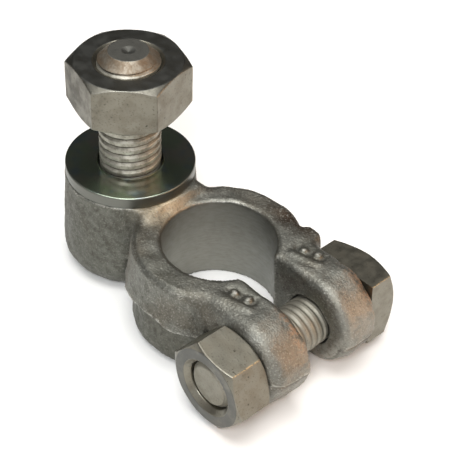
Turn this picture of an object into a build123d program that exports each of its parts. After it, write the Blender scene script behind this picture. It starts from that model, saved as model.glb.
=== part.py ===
from build123d import *
from math import cos, pi, radians, sin, sqrt, tan
import os

# Battery terminal clamp for a positive post: one cast body with a split collar, a stud boss and
# two ears, an M10 stud with its washer and nut, and an M8 square-head pinch bolt with its nut.
# Millimetres. The origin is on the axis of the post bore at the underside of the collar.
# +X runs from the stud boss towards the ears, +Z is up, and the pinch bolt lies along Y.

# collar: two drafted halves that meet at the parting line, the upper one standing proud
collar_height = 16.0
collar_top_radius = 13.5
collar_draft = 6.5
collar_low_draft = 3.5
parting_height = 7.0
parting_step = 0.6
collar_top_chamfer = 0.7
collar_low_round = 2.4

# tapered post bore, small end at the top
bore_top_diameter = 17.9
bore_taper = 1.0 / 9.0
bore_chamfer = 0.55
bore_low_chamfer = 0.15

# slot that splits the collar, and the two ears beside it
slot_width = 7.0
slot_centre_y = 0.4
slot_mouth_round = 1.2
ear_thickness = 7.6
ear_edge_round = 2.3
pinch_axis_reach = 2.6
pinch_hole_diameter = 8.4
nut_turning_clearance = 0.4

# shoulder behind the rear ear that keeps the square head from turning
shoulder_width = 3.6
shoulder_depth = 1.8
shoulder_drop = 13.0
shoulder_round = 0.8
head_side_gap = 0.5

# marks on the ear tops: a sunk slot with two nubs in it and a raised bar along its near side
mark_length = 5.6
mark_width = 2.4
mark_depth = 0.4
mark_back = 4.7
mark_shift = 0.8
mark_turn = 15.0
nub_spacing = 2.4
nub_diameter = 1.3
nub_height = 0.4
bar_width = 1.1
bar_height = 0.3

# stud boss and the neck that joins it to the collar
boss_spacing = 21.3
boss_rise = 1.1
boss_ledge = 0.1
boss_draft = 2.6
boss_low_round = 3.6
neck_width = 13.0
neck_slope_length = 1.2
neck_underside = 0.6

# M10 stud: hexagon head seated in a pocket under the boss, crimped in
stud_diameter = 9.9
stud_rise = 22.5
stud_fit = 0.05
stud_head_step = 1.0
stud_head_height = 6.4
stud_head_depth = 0.6
stud_thread_pitch = 1.5
stud_thread_depth = 0.8
stud_thread_crest = 0.3
stud_end_flat_diameter = 6.3
stud_end_chamfer = 1.7
centre_dimple_diameter = 2.2
centre_dimple_depth = 0.6

# washer under the stud nut
washer_outside = 21.0
washer_inside = 10.5
washer_thickness = 2.0
washer_edge_round = 0.25

# M10 nut, run part of the way down the stud
stud_nut_flats = 17.0
stud_nut_height = 8.0
stud_end_above_nut = 1.7
stud_nut_turn = 45.9
stud_nut_countersink = 10.9

# M8 square-head pinch bolt
bolt_diameter = 7.9
bolt_head_flats = 11.7
bolt_head_turn = 2.5
bolt_head_height = 5.7
bolt_end_flat_diameter = 6.3
bolt_end_chamfer = 0.8
bolt_end_recess = 0.6

# M8 nut on the pinch bolt
pinch_nut_flats = 13.0
pinch_nut_height = 6.5
pinch_nut_turn = 50.0
pinch_nut_countersink = 9.6

# how far a piece runs into the one that it is fused to, and a margin for finding edges
overlap = 1.0
margin = 0.01

# nuts and heads: how far the turned chamfer stays inside the flats, its slope, thread clearance
chamfer_circle_share = 0.99
head_circle_share = 0.9
chamfer_slope = 30.0
thread_clearance = 0.05

# places and sizes that follow from the ones above
pinch_axis_x = collar_top_radius + pinch_axis_reach
pinch_axis_z = collar_height / 2
ear_end_radius = collar_height / 2
boss_height = collar_height + boss_rise
boss_top_radius = washer_outside / 2 + boss_ledge
stud_top = boss_height + stud_rise
stud_head_flats = stud_nut_flats - stud_head_step
stud_nut_bottom = stud_top - stud_end_above_nut - stud_nut_height
front_slot_face = slot_centre_y - slot_width / 2
rear_slot_face = slot_centre_y + slot_width / 2
front_seat = front_slot_face - ear_thickness
rear_seat = rear_slot_face + ear_thickness
nut_face = front_seat - pinch_nut_height
head_ceiling = stud_head_depth + stud_head_height
bore_top_radius = bore_top_diameter / 2
bore_bottom_radius = bore_top_radius + collar_height * bore_taper / 2


def upper_radius(height):
    """Radius of the drafted upper half of the collar at this height."""
    return collar_top_radius + (collar_height - height) * tan(radians(collar_draft))


def lower_radius(height):
    """Radius of the lower half of the collar, drafted the other way."""
    shrink = (parting_height - height) * tan(radians(collar_low_draft))
    return upper_radius(parting_height) - parting_step - shrink


def corner_radius(flats, sides):
    """Centre to corner of a nut or head of this size across its flats."""
    return flats / 2 / cos(pi / sides)


def ear_half(radius, upward):
    """One half of the front ear, with rounded rims: flat towards the collar, round about the bolt."""
    drop = parting_height - pinch_axis_z
    tip = (pinch_axis_x + sqrt(radius**2 - drop**2), parting_height)
    reach = radius if upward else -radius
    level = pinch_axis_z + reach
    middle = pi / 4
    bulge = (pinch_axis_x + radius * cos(middle), pinch_axis_z + reach * sin(middle))
    with BuildPart() as half:
        with BuildSketch(Plane.XZ.offset(-front_slot_face)):
            with BuildLine():
                Polyline(tip, (0, parting_height), (0, level), (pinch_axis_x, level))
                ThreePointArc((pinch_axis_x, level), bulge, tip)
            make_face()
        extrude(amount=ear_thickness)
        for place, size in ((front_seat, ear_edge_round), (front_slot_face, slot_mouth_round)):
            rims = half.edges().filter_by_position(Axis.Y, place - margin, place + margin)
            rims = [edge for edge in rims if abs(edge.center().Z - parting_height) > margin]
            fillet([edge for edge in rims if edge.center().X > margin], size)
    return half.part


def collar_half(bottom, top, bottom_radius, top_radius, low_round, top_chamfer):
    """One drafted half of the collar, open where the ears and their slot stand."""
    with BuildPart() as half:
        with BuildSketch(Plane.XZ) as profile:
            with BuildLine():
                Polyline((0, bottom), (bottom_radius, bottom), (top_radius, top), (0, top), close=True)
            make_face()
            outer = profile.vertices().sort_by(Axis.X)[2:]
            if low_round:
                fillet(outer.sort_by(Axis.Y)[0], low_round)
            if top_chamfer:
                chamfer(outer.sort_by(Axis.Y)[-1], top_chamfer)
        revolve(axis=Axis.Z)
        with BuildSketch(Plane.XY.offset(bottom)):
            with Locations((0, slot_centre_y)):
                Rectangle(2 * bottom_radius, slot_width + ear_thickness, align=(Align.MIN, Align.CENTER))
        extrude(amount=top - bottom, mode=Mode.SUBTRACT)
    return half.part


# ---- cast body ----
ear_mid_plane = Plane.XZ.offset(-slot_centre_y)
upper_ear = ear_half(ear_end_radius, True)
lower_ear = ear_half(ear_end_radius - parting_step, False)

with BuildPart() as clamp_body:
    # upper half of the collar and ears, down to the parting line
    add(
        collar_half(
            parting_height,
            collar_height,
            upper_radius(parting_height),
            collar_top_radius,
            0,
            collar_top_chamfer,
        )
    )
    add(upper_ear)
    add(mirror(upper_ear, about=ear_mid_plane, mode=Mode.PRIVATE))
    # lower half, set back by the parting step
    add(
        collar_half(
            0,
            parting_height,
            lower_radius(0),
            lower_radius(parting_height),
            collar_low_round,
            0,
        )
    )
    add(lower_ear)
    add(mirror(lower_ear, about=ear_mid_plane, mode=Mode.PRIVATE))
    # stud boss, drafted, with a rounded foot
    with BuildSketch(Plane.XZ) as boss_profile:
        with BuildLine():
            foot_radius = boss_top_radius + boss_height * tan(radians(boss_draft))
            Polyline(
                (-boss_spacing, 0),
                (foot_radius - boss_spacing, 0),
                (boss_top_radius - boss_spacing, boss_height),
                (-boss_spacing, boss_height),
                close=True,
            )
        make_face()
        fillet(boss_profile.vertices().sort_by(Axis.X)[-1], boss_low_round)
    revolve(axis=Axis((-boss_spacing, 0, 0), (0, 0, 1)))
    # neck between boss and collar, its top falling from one to the other
    with BuildSketch(Plane.XZ.offset(-neck_width / 2)):
        with BuildLine():
            slope_end = -boss_spacing + boss_top_radius + neck_slope_length
            Polyline(
                (-boss_spacing, neck_underside),
                (0, neck_underside),
                (0, collar_height),
                (slope_end, collar_height),
                (slope_end - neck_slope_length, boss_height),
                (-boss_spacing, boss_height),
                close=True,
            )
        make_face()
    extrude(amount=neck_width)
    # shoulder beside the square head
    with BuildSketch(Plane.XY.offset(collar_height)) as shoulder:
        with Locations((pinch_axis_x - bolt_head_flats / 2 - head_side_gap, rear_seat - overlap)):
            Rectangle(shoulder_width, shoulder_depth + overlap, align=(Align.MAX, Align.MIN))
        fillet(shoulder.vertices().sort_by(Axis.Y)[-2:], shoulder_round)
    extrude(amount=-shoulder_drop)
    # tapered post bore with a chamfered mouth at each end
    with BuildSketch(Plane.XZ):
        with BuildLine():
            Polyline(
                (0, -margin),
                (bore_bottom_radius + bore_low_chamfer, 0),
                (bore_bottom_radius, bore_low_chamfer),
                (bore_top_radius, collar_height - bore_chamfer),
                (bore_top_radius + bore_chamfer, collar_height),
                (0, collar_height + margin),
                close=True,
            )
        make_face()
    revolve(axis=Axis.Z, mode=Mode.SUBTRACT)
    # seat turned clear for the pinch nut's corners
    with BuildSketch(Plane.XZ.offset(-front_seat)):
        with Locations((pinch_axis_x, pinch_axis_z)):
            Circle(corner_radius(pinch_nut_flats, 6) + nut_turning_clearance)
    extrude(amount=pinch_nut_height, mode=Mode.SUBTRACT)
    # hole for the pinch bolt through both ears
    with BuildSketch(Plane.XZ.offset(-rear_seat - overlap)):
        with Locations((pinch_axis_x, pinch_axis_z)):
            Circle(pinch_hole_diameter / 2)
    extrude(amount=rear_seat - front_seat + 2 * overlap, mode=Mode.SUBTRACT)
    # stud hole and the pocket for the stud's head
    with BuildSketch(Plane.XY):
        with Locations((-boss_spacing, 0)):
            Circle(stud_diameter / 2 + stud_fit)
    extrude(amount=boss_height, mode=Mode.SUBTRACT)
    with BuildSketch(Plane.XY):
        with Locations((-boss_spacing, 0)):
            RegularPolygon(stud_head_flats / 2 + stud_fit, 6, major_radius=False)
    extrude(amount=head_ceiling, mode=Mode.SUBTRACT)
    # marks on the ear tops
    for side in (-1, 1):
        mark_y = slot_centre_y + side * (slot_width + ear_thickness) / 2 + mark_shift
        place = Location((pinch_axis_x - mark_back, mark_y, collar_height), (0, 0, mark_turn))
        with BuildSketch(place):
            SlotOverall(mark_length, mark_width)
        extrude(amount=-mark_depth, mode=Mode.SUBTRACT)
        with BuildSketch(place * Pos(0, 0, -mark_depth)):
            with Locations((-nub_spacing / 2, 0), (nub_spacing / 2, 0)):
                Circle(nub_diameter / 2)
        extrude(amount=mark_depth + nub_height)
        with BuildSketch(place * Pos(0, -(mark_width + bar_width) / 2, -mark_depth)):
            SlotOverall(mark_length, bar_width)
        extrude(amount=mark_depth + bar_height)


def thread_rings(bottom, top, radius, pitch, depth, crest):
    """Profile of a thread drawn as rings, from the top down: V grooves with a flat crest between."""
    points = []
    for turn in range(int((top - bottom) / pitch)):
        mouth = top - turn * pitch
        root = mouth - (pitch - crest) / 2
        points += [(radius, mouth), (radius - depth, root), (radius, mouth - pitch + crest)]
    return points


# ---- M10 stud ----
with BuildPart() as terminal_stud:
    with BuildSketch(Plane.XY.offset(stud_head_depth)):
        with Locations((-boss_spacing, 0)):
            RegularPolygon(stud_head_flats / 2, 6, major_radius=False)
    extrude(amount=stud_head_height)
    with BuildSketch(Plane.XZ):
        with BuildLine():
            rings = thread_rings(
                boss_height,
                stud_top - stud_end_chamfer,
                stud_diameter / 2,
                stud_thread_pitch,
                stud_thread_depth,
                stud_thread_crest,
            )
            outline = [
                (0, stud_top - centre_dimple_depth),
                (centre_dimple_diameter / 2, stud_top),
                (stud_end_flat_diameter / 2, stud_top),
                *rings,
                (stud_diameter / 2, head_ceiling - overlap),
                (0, head_ceiling - overlap),
            ]
            Polyline(*((radius - boss_spacing, height) for radius, height in outline), close=True)
        make_face()
    revolve(axis=Axis((-boss_spacing, 0, 0), (0, 0, 1)))

# ---- washer ----
with BuildPart() as stud_washer:
    with BuildSketch(Plane.XY.offset(boss_height)):
        with Locations((-boss_spacing, 0)):
            Circle(washer_outside / 2)
            Circle(washer_inside / 2, mode=Mode.SUBTRACT)
    extrude(amount=washer_thickness)
    fillet(stud_washer.edges().filter_by(GeomType.CIRCLE), washer_edge_round)


def hexagon_nut(flats, height, bore_radius, countersink, turn):
    """Hexagon nut on the Z axis from z = 0 up, chamfered and countersunk on both faces."""
    round_radius = chamfer_circle_share * flats / 2
    outer = corner_radius(flats, 6) + overlap
    fall = (outer - round_radius) * tan(radians(chamfer_slope))
    sink = countersink / 2 - bore_radius
    with BuildPart() as nut:
        with BuildSketch():
            RegularPolygon(flats / 2, 6, major_radius=False, rotation=turn)
        extrude(amount=height)
        with BuildSketch(Plane.XZ):
            with BuildLine():
                Polyline(
                    (bore_radius, sink),
                    (countersink / 2, 0),
                    (round_radius, 0),
                    (outer, fall),
                    (outer, height - fall),
                    (round_radius, height),
                    (countersink / 2, height),
                    (bore_radius, height - sink),
                    close=True,
                )
            make_face()
        revolve(axis=Axis.Z, mode=Mode.INTERSECT)
    return nut.part


# ---- M10 nut ----
with BuildPart() as stud_nut:
    with Locations((-boss_spacing, 0, stud_nut_bottom)):
        add(
            hexagon_nut(
                stud_nut_flats,
                stud_nut_height,
                stud_diameter / 2 + thread_clearance,
                stud_nut_countersink,
                stud_nut_turn,
            )
        )

# ---- pinch bolt, head first ----
with BuildPart() as pinch_bolt:
    head_face = rear_seat + bolt_head_height
    bolt_end = nut_face + bolt_end_recess
    with BuildSketch(Plane.XZ.offset(-head_face)):
        with Locations((pinch_axis_x, pinch_axis_z)):
            Rectangle(bolt_head_flats, bolt_head_flats, rotation=bolt_head_turn)
    extrude(amount=bolt_head_height)
    with BuildSketch(Plane.YZ.offset(pinch_axis_x)):
        with BuildLine():
            round_radius = head_circle_share * bolt_head_flats / 2
            outer = corner_radius(bolt_head_flats, 4) + overlap
            fall = (outer - round_radius) * tan(radians(chamfer_slope))
            Polyline(
                (rear_seat, pinch_axis_z),
                (rear_seat, pinch_axis_z + outer),
                (head_face - fall, pinch_axis_z + outer),
                (head_face, pinch_axis_z + round_radius),
                (head_face, pinch_axis_z),
                close=True,
            )
        make_face()
    revolve(axis=Axis((pinch_axis_x, 0, pinch_axis_z), (0, 1, 0)), mode=Mode.INTERSECT)
    with BuildSketch(Plane.YZ.offset(pinch_axis_x)):
        with BuildLine():
            Polyline(
                (rear_seat + overlap, pinch_axis_z),
                (rear_seat + overlap, pinch_axis_z + bolt_diameter / 2),
                (bolt_end + bolt_end_chamfer, pinch_axis_z + bolt_diameter / 2),
                (bolt_end, pinch_axis_z + bolt_end_flat_diameter / 2),
                (bolt_end, pinch_axis_z),
                close=True,
            )
        make_face()
    revolve(axis=Axis((pinch_axis_x, 0, pinch_axis_z), (0, 1, 0)))

# ---- M8 nut ----
with BuildPart() as pinch_nut:
    with Locations(Location(Plane.XZ.offset(-front_seat).shift_origin((pinch_axis_x, front_seat, pinch_axis_z)))):
        add(
            hexagon_nut(
                pinch_nut_flats,
                pinch_nut_height,
                bolt_diameter / 2 + thread_clearance,
                pinch_nut_countersink,
                pinch_nut_turn,
            )
        )

os.makedirs("parts", exist_ok=True)
for name, piece in (
    ("clamp_body", clamp_body),
    ("terminal_stud", terminal_stud),
    ("stud_washer", stud_washer),
    ("stud_nut", stud_nut),
    ("pinch_bolt", pinch_bolt),
    ("pinch_nut", pinch_nut),
):
    piece.part.label = name
    export_step(piece.part, f"parts/{name}.step")
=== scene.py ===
"""Looks of the battery terminal clamp: its cast body, stud, washer, nuts, pinch bolt and stage.

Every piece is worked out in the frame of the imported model, in metres, and rides on its body.
"""

from math import cos, pi, radians, sin, sqrt, tan

import bmesh
import bpy
import numpy as np
from mathutils import Matrix, Vector


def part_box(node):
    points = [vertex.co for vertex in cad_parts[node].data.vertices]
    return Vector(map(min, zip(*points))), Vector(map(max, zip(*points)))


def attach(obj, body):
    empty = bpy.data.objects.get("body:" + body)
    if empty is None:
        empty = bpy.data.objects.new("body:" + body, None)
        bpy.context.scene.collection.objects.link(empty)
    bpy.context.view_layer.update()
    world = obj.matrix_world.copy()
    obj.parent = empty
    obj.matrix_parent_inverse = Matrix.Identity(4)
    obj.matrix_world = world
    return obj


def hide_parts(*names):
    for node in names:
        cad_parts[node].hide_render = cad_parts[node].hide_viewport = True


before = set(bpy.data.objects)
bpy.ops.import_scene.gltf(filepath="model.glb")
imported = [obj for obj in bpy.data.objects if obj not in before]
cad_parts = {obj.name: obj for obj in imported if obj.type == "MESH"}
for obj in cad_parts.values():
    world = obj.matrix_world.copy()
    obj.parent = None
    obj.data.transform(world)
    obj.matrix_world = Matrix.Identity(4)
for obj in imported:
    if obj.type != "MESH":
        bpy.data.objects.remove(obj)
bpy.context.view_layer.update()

bl_info = {
    "name": "Battery Terminal Clamp",
    "version": (1, 0, 0),
    "blender": (4, 5, 0),
    "location": "3D View > Sidebar > Clamp",
    "description": "Makes the finished pieces of a battery terminal clamp and their stage",
    "category": "Add Mesh",
}

MM = 0.001
FULL_TURN = 2 * pi


# ---------------------------------------------------------------- settings


def length(label, millimetres, words):
    """A length setting, given in millimetres and held in metres."""
    kind = {"min": 0.0, "precision": 5, "subtype": "DISTANCE", "unit": "LENGTH"}
    return bpy.props.FloatProperty(name=label, description=words, default=millimetres * MM, **kind)


def share(label, value, words):
    """A setting between 0 and 1."""
    kind = {"min": 0.0, "max": 1.0, "subtype": "FACTOR"}
    return bpy.props.FloatProperty(name=label, description=words, default=value, **kind)


def angle(label, degrees, words):
    """An angle setting, given in degrees and held in radians."""
    kind = {"subtype": "ANGLE", "unit": "ROTATION"}
    return bpy.props.FloatProperty(name=label, description=words, default=radians(degrees), **kind)


def colour(label, red, green, blue, words):
    """A colour setting, in linear light."""
    kind = {"size": 3, "min": 0.0, "max": 1.0, "subtype": "COLOR"}
    tint = (red, green, blue)
    return bpy.props.FloatVectorProperty(name=label, description=words, default=tint, **kind)


class CastingSettings(bpy.types.PropertyGroup):
    """Sizes and colours of the cast body."""

    voxel: length("Voxel", 0.275, "Spacing of the points of the cast surface")
    bore_top_diameter: length("Bore top diameter", 17.9, "Post bore at the top of the collar")
    bore_taper: share("Bore taper", 1 / 9, "Growth of the bore's diameter for each unit of depth")
    parting_height: length("Parting height", 7.0, "Height of the line where the mould halves met")
    parting_rise: length("Parting rise", 1.2, "Rise of the parting line along the front")
    parting_swell: length("Parting swell", 1.2, "Further rise at the middle of the front")
    parting_wave: length("Parting wave", 0.22, "How far the parting line wanders up and down")
    flash_height: length("Flash height", 0.34, "How far the flash on the parting line stands out")
    lower_setback: length("Lower setback", 0.45, "Extra setback of the lower half below the flash")
    ear_fill: length("Ear fill", 0.55, "Fullness of the ears' lower ends below the parting line")
    grain_size: length("Grain size", 0.55, "Width of the cast grain")
    grain_depth: length("Grain depth", 0.012, "Depth of the cast grain")
    lump_size: length("Lump size", 4.0, "Width of the shallow unevenness of the walls")
    lump_depth: length("Lump depth", 0.05, "Depth of the shallow unevenness of the walls")
    tin: colour("Tin", 0.190, 0.192, 0.170, "Dull plating on the walls")
    stain: colour("Stain", 0.150, 0.138, 0.112, "Brown stain in the plating")
    # Bright tin is plating rubbed bright on ridges; it is also the painted highlight on the flash
    # line, on the ears' ends and on the rear ear's slot face, and the fine sparkle.
    bright: colour("Bright tin", 0.42, 0.415, 0.375, "Plating rubbed bright on ridges")
    # Soot and shade: dirt in random specks, and painted shade in the hollows, the creases, the
    # ears' roots and under the flash.
    soot: colour("Crevice dirt", 0.07, 0.062, 0.052, "Dirt held in the corners")
    # Copper is painted as a warm reflection on the sides of the ears' ends that face the warm lamp.
    copper: colour("Copper", 0.47, 0.375, 0.28, "Warm metal where the plating has worn thin")
    # Ember is a painted warm highlight at the upper corner of an ear's end, on its side towards the
    # warm lamp.
    ember: colour("Ember", 0.66, 0.35, 0.17, "Brightest copper at the upper corner of an ear's end")
    tan: colour("Tan", 0.72, 0.60, 0.42, "Tan plating on the neck")
    rust: colour("Rust", 0.060, 0.040, 0.028, "Brown stain on the rear of the collar's top")
    # Dull tin darkens the boss's side walls, the lower half and the front of the collar's top, and
    # is painted shade over the sunk marks on the ears.
    dull: colour("Dull tin", 0.105, 0.106, 0.088, "Dirtier plating of the boss and lower half")
    reamed: colour("Reamed bore", 0.235, 0.240, 0.222, "Plating over the reamed bore")


class FastenerSettings(bpy.types.PropertyGroup):
    """Sizes and colours of the stud, washer, nuts and pinch bolt."""

    stud_diameter: length("Stud diameter", 9.9, "Crest diameter of the stud's thread")
    stud_pitch: length("Stud pitch", 1.5, "Rise of the stud's thread in one turn")
    stud_thread_depth: length("Stud thread depth", 0.50, "Depth of the stud's thread")
    stud_head_flats: length("Stud head flats", 16.0, "Size of the stud's head across its flats")
    stud_end_flat: length("Stud end flat", 6.3, "Diameter of the flat on the stud's end")
    stud_end_chamfer: length("Stud end chamfer", 1.7, "Length of the cone on the stud's end")
    dimple_diameter: length("Dimple diameter", 2.2, "Centre dimple in the stud's end")
    dimple_depth: length("Dimple depth", 0.4, "Depth of the centre dimple")
    stud_nut_flats: length("Stud nut flats", 17.0, "Size of the stud nut across its flats")
    stud_nut_countersink: length("Stud nut countersink", 11.2, "Mouth of the stud nut's bore")
    stud_nut_turn: angle("Stud nut turn", 45.9, "Angle of one corner of the stud nut from +X")
    washer_hole: length("Washer hole", 10.5, "Hole in the washer")
    bolt_diameter: length("Bolt diameter", 7.9, "Crest diameter of the pinch bolt's thread")
    bolt_pitch: length("Bolt pitch", 1.25, "Rise of the pinch bolt's thread in one turn")
    bolt_thread_depth: length("Bolt thread depth", 0.22, "Depth of the pinch bolt's thread")
    bolt_head_flats: length("Bolt head flats", 11.7, "Side of the pinch bolt's square head")
    bolt_head_turn: angle("Bolt head turn", 2.5, "Turn of the square head from +X towards +Z")
    bolt_head_height: length("Bolt head height", 5.7, "Height of the square head")
    bolt_end_flat: length("Bolt end flat", 6.3, "Diameter of the flat on the bolt's end")
    bolt_end_chamfer: length("Bolt end chamfer", 0.8, "Length of the cone on the bolt's end")
    pinch_nut_flats: length("Pinch nut flats", 13.0, "Size of the pinch nut across its flats")
    pinch_nut_countersink: length("Pinch nut countersink", 9.6, "Mouth of the pinch nut's bore")
    pinch_nut_turn: angle("Pinch nut turn", 40.0, "Angle of one corner of the pinch nut from +Z")
    chamfer_slope: angle("Chamfer slope", 30.0, "Slope of the turned chamfers on nuts and heads")
    edge_softness: length("Edge softness", 0.05, "Rounding of the edges of nuts and heads")
    zinc: colour("Zinc", 0.215, 0.205, 0.168, "Dull zinc plating")
    thread_zinc: colour("Thread zinc", 0.44, 0.425, 0.37, "Paler plating of the threads")
    zinc_shade: colour("Zinc shade", 0.175, 0.160, 0.126, "Darker blotches in the plating")
    worn_cone: colour("Worn cone", 0.21, 0.165, 0.118, "Warm metal of the stud's turned end")
    # A painted warm shadow on the stud's thread just under its nut.
    oil: colour("Oil", 0.40, 0.29, 0.16, "Golden oil on the stud's thread under its nut")
    # Painted shade on one side of each nut, broken by blotches.
    grime: colour("Grime", 0.066, 0.062, 0.050, "Oily dirt on one side of a nut")
    worn: colour("Worn face", 0.112, 0.113, 0.104, "Face rubbed through by the spanner")
    # Gold on one corner of each nut and of the bolt's head: edge wear with a painted warm
    # highlight.
    gold: colour("Edge gold", 0.46, 0.37, 0.23, "Corners where the plating shines through")
    polished: colour("Polished edge", 0.27, 0.262, 0.228, "Edges of the turned chamfers")
    # Dirt in random specks and pits; it is also painted shade at the thread's roots, and it darkens
    # the dimple.
    soot: colour("Dirt", 0.045, 0.040, 0.032, "Dirt in the threads and pits")
    washer_face: colour("Washer face", 0.48, 0.49, 0.44, "Smooth plated face of the washer")
    washer_green: colour("Washer green", 0.40, 0.50, 0.38, "Green tinge in the washer's plating")
    washer_blue: colour("Washer blue", 0.30, 0.42, 0.50, "Blue tinge in the washer's plating")
    # Washer edge: a darker tone in faint streaks, and painted shade on the cut edge.
    washer_edge: colour("Washer edge", 0.155, 0.158, 0.140, "Cut edge of the washer")


class StageSettings(bpy.types.PropertyGroup):
    """Camera, floor and lights."""

    azimuth: angle("Azimuth", 45.565, "Direction of the camera round the clamp, from -Y")
    elevation: angle("Elevation", 41.015, "Height of the camera's view above the horizon")
    roll: angle("Roll", 2.546, "Turn of the camera about its line of sight")
    lens: bpy.props.FloatProperty(
        name="Lens", description="Focal length in millimetres", default=101.81, min=1.0
    )
    floor_colour: colour("Floor", 0.90, 0.90, 0.89, "Pale floor")
    room_dark: colour("Room", 0.040, 0.038, 0.035, "Dim room behind the clamp")
    room_light: colour("Near room", 0.42, 0.41, 0.40, "Lighter room behind the camera")
    warm_light: colour("Warm light", 1.0, 0.60, 0.34, "Low lamp on the ears' side")


SETTINGS = {
    "clamp_casting": CastingSettings,
    "clamp_fasteners": FastenerSettings,
    "clamp_stage": StageSettings,
}


# ---------------------------------------------------------------- shapes

# Unevenness of the made surfaces: depth and width in millimetres, and the seed of its waves.
UNEVENNESS = {
    "nut_width": (0.010, 3.0, 5),
    "nut_height": (0.008, 2.5, 6),
    "stud": (0.020, 1.6, 31),
    "washer": (0.006, 6.0, 41),
    "bolt": (0.012, 2.2, 51),
}

# Blanks that nuts and heads are cut from: the share of the flats that the face keeps, and how
# far the blank reaches past the corners, in millimetres.
BLANKS = {"nut": (0.99, 0.5), "stud_head": (0.97, 0.3), "bolt_head": (0.90, 0.3)}

PAST_CREST = 1.02  # a profile this many times as wide as a thread's crest is part of the head
LEVEL = 0.05 * MM  # how far below a head's or nut's face a point still lies on it
GROOVE_HALF_WIDTHS = {"stud": 0.27, "bolt": 0.30}  # as shares of the pitch


def wave_noise(points, size, seed, waves=48):
    """Even noise of about unit spread: the sum of plane sine waves in random directions, whose
    lengths lie round the given size, divided by the root of half their number."""
    draw = np.random.default_rng(seed)
    directions = draw.normal(size=(waves, 3))
    directions /= np.linalg.norm(directions, axis=1, keepdims=True)
    lengths = size * draw.uniform(0.7, 1.4, waves)
    phases = draw.uniform(0, FULL_TURN, waves)
    turns = points @ (directions * (FULL_TURN / lengths)[:, None]).T + phases
    return np.sin(turns).sum(axis=-1) * sqrt(2 / waves)


def unevenness(name, points):
    """The named unevenness at the points: its depth times wave_noise of its width."""
    depth, width, seed = UNEVENNESS[name]
    return depth * MM * wave_noise(points, width * MM, seed)


def soft_lower(first, second, softness):
    """The lower of two values, rounded where they cross: less s log(1 + exp(-gap / s))."""
    gap = np.abs(first - second)
    return np.minimum(first, second) - softness * np.log1p(np.exp(-gap / softness))


def corner_angles(sides, steps, turn, crowding=0.12):
    """Angles round a polygon, close together at its corners: each side's share t is moved by the
    crowding times a sine of its own full turn."""
    share_of_side = np.arange(steps) / steps
    eased = share_of_side - crowding * np.sin(FULL_TURN * share_of_side)
    return turn + (np.arange(sides)[:, None] + eased[None, :]).ravel() * FULL_TURN / sides


def polygon_radius(angles, flats, sides, turn, softness=0.003):
    """Centre to wall of a regular polygon along each angle, its corners rounded: half the flats
    over the soft maximum of the cosines between the angle and the flats' normals."""
    normals = turn + (np.arange(sides) + 0.5) * FULL_TURN / sides
    reach = np.cos(angles[:, None] - normals[None, :]) / softness
    top = reach.max(axis=1, keepdims=True)
    soft_top = top[:, 0] + np.log(np.exp(reach - top).sum(axis=1))
    return flats / 2 / (softness * soft_top)


def angle_from(angles, turn):
    """The angles from a turn, between minus and plus half a full turn."""
    return (angles - turn + pi) % FULL_TURN - pi


def rounded_path(corners, rounding, spacing, closed=False, longest_cut=0.45, bend_steps=4):
    """A path of (radius, height) through the corners: straight legs cut at even spacing, and each
    corner replaced by a parabola that leaves and joins its legs at the rounding's distance, or at
    the longest cut's share of a short leg."""
    corners = np.asarray(corners, float)
    count = len(corners)
    cuts = {}
    for k in range(count) if closed else range(1, count - 1):
        corner = corners[k]
        way_in, way_out = corners[k - 1] - corner, corners[(k + 1) % count] - corner
        reach_in, reach_out = np.linalg.norm(way_in), np.linalg.norm(way_out)
        cut = min(rounding, longest_cut * reach_in, longest_cut * reach_out)
        cuts[k] = (corner + way_in / reach_in * cut, corner + way_out / reach_out * cut)
    rows = []
    t = np.linspace(0, 1, bend_steps, endpoint=False)[:, None]
    for k in range(count if closed else count - 1):
        start = cuts[k][1] if k in cuts else corners[k]
        after = (k + 1) % count
        stop, leave = cuts.get(after, (corners[after], None))
        steps = max(1, int(np.ceil(np.linalg.norm(stop - start) / spacing)))
        rows.append(start + (stop - start) * np.linspace(0, 1, steps, endpoint=False)[:, None])
        if after in cuts:
            bend = (1 - t) ** 2 * stop + 2 * t * (1 - t) * corners[after] + t**2 * leave
            rows.append(bend)
    if not closed:
        rows.append(corners[-1:])
    return np.concatenate(rows)


def thread_groove(height, angles, pitch, half_width, flat_root=0.9):
    """Depth of a right-handed thread's groove, 0 to 1: a V about the middle of each turn, where
    the turns are the height over the pitch less the angle's share of a turn. It is as wide as
    twice the half width, with its root cut off flat."""
    turns = height / pitch - angles[None, :] / FULL_TURN
    across = np.abs(turns % 1.0 - 0.5) / half_width
    return np.minimum(np.clip(1 - across, 0, 1) / flat_root, 1)


def turned_blank(kind, flats, sides, slope):
    """Measures of the blank that a polygon is cut from: the radius of its face, a radius past the
    polygon's corners, and how far the chamfer falls from the one to the other at its slope."""
    face_share, spare = BLANKS[kind]
    face = face_share * flats / 2
    reach = flats / 2 / cos(pi / sides) + spare * MM
    return face, reach, (reach - face) * tan(slope)


def cut_blank(path, angles, crest, flats, sides, turn, softness):
    """Radius and height on a grid for a turned profile that is cut to a polygon where it is wider
    than the crest: there the radius is the lower of the profile's and the polygon's."""
    polygon = polygon_radius(angles, flats, sides, turn)[None, :]
    turned = path[:, :1]
    cut = soft_lower(turned, polygon, softness)
    radius = np.where(turned > crest * PAST_CREST, cut, turned)
    return turned, polygon, radius, np.repeat(path[:, 1:], len(angles), axis=1)


def edge_wear(turned, polygon, corner_width, arc_width):
    """Wear on the corners of a cut blank, and on the arcs where its chamfer meets its flats: each
    is exp(-distance / width)."""
    corners = np.exp(-(polygon.max() - polygon) / corner_width) * (turned > polygon)
    return corners, np.exp(-np.abs(turned - polygon) / arc_width)


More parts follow.
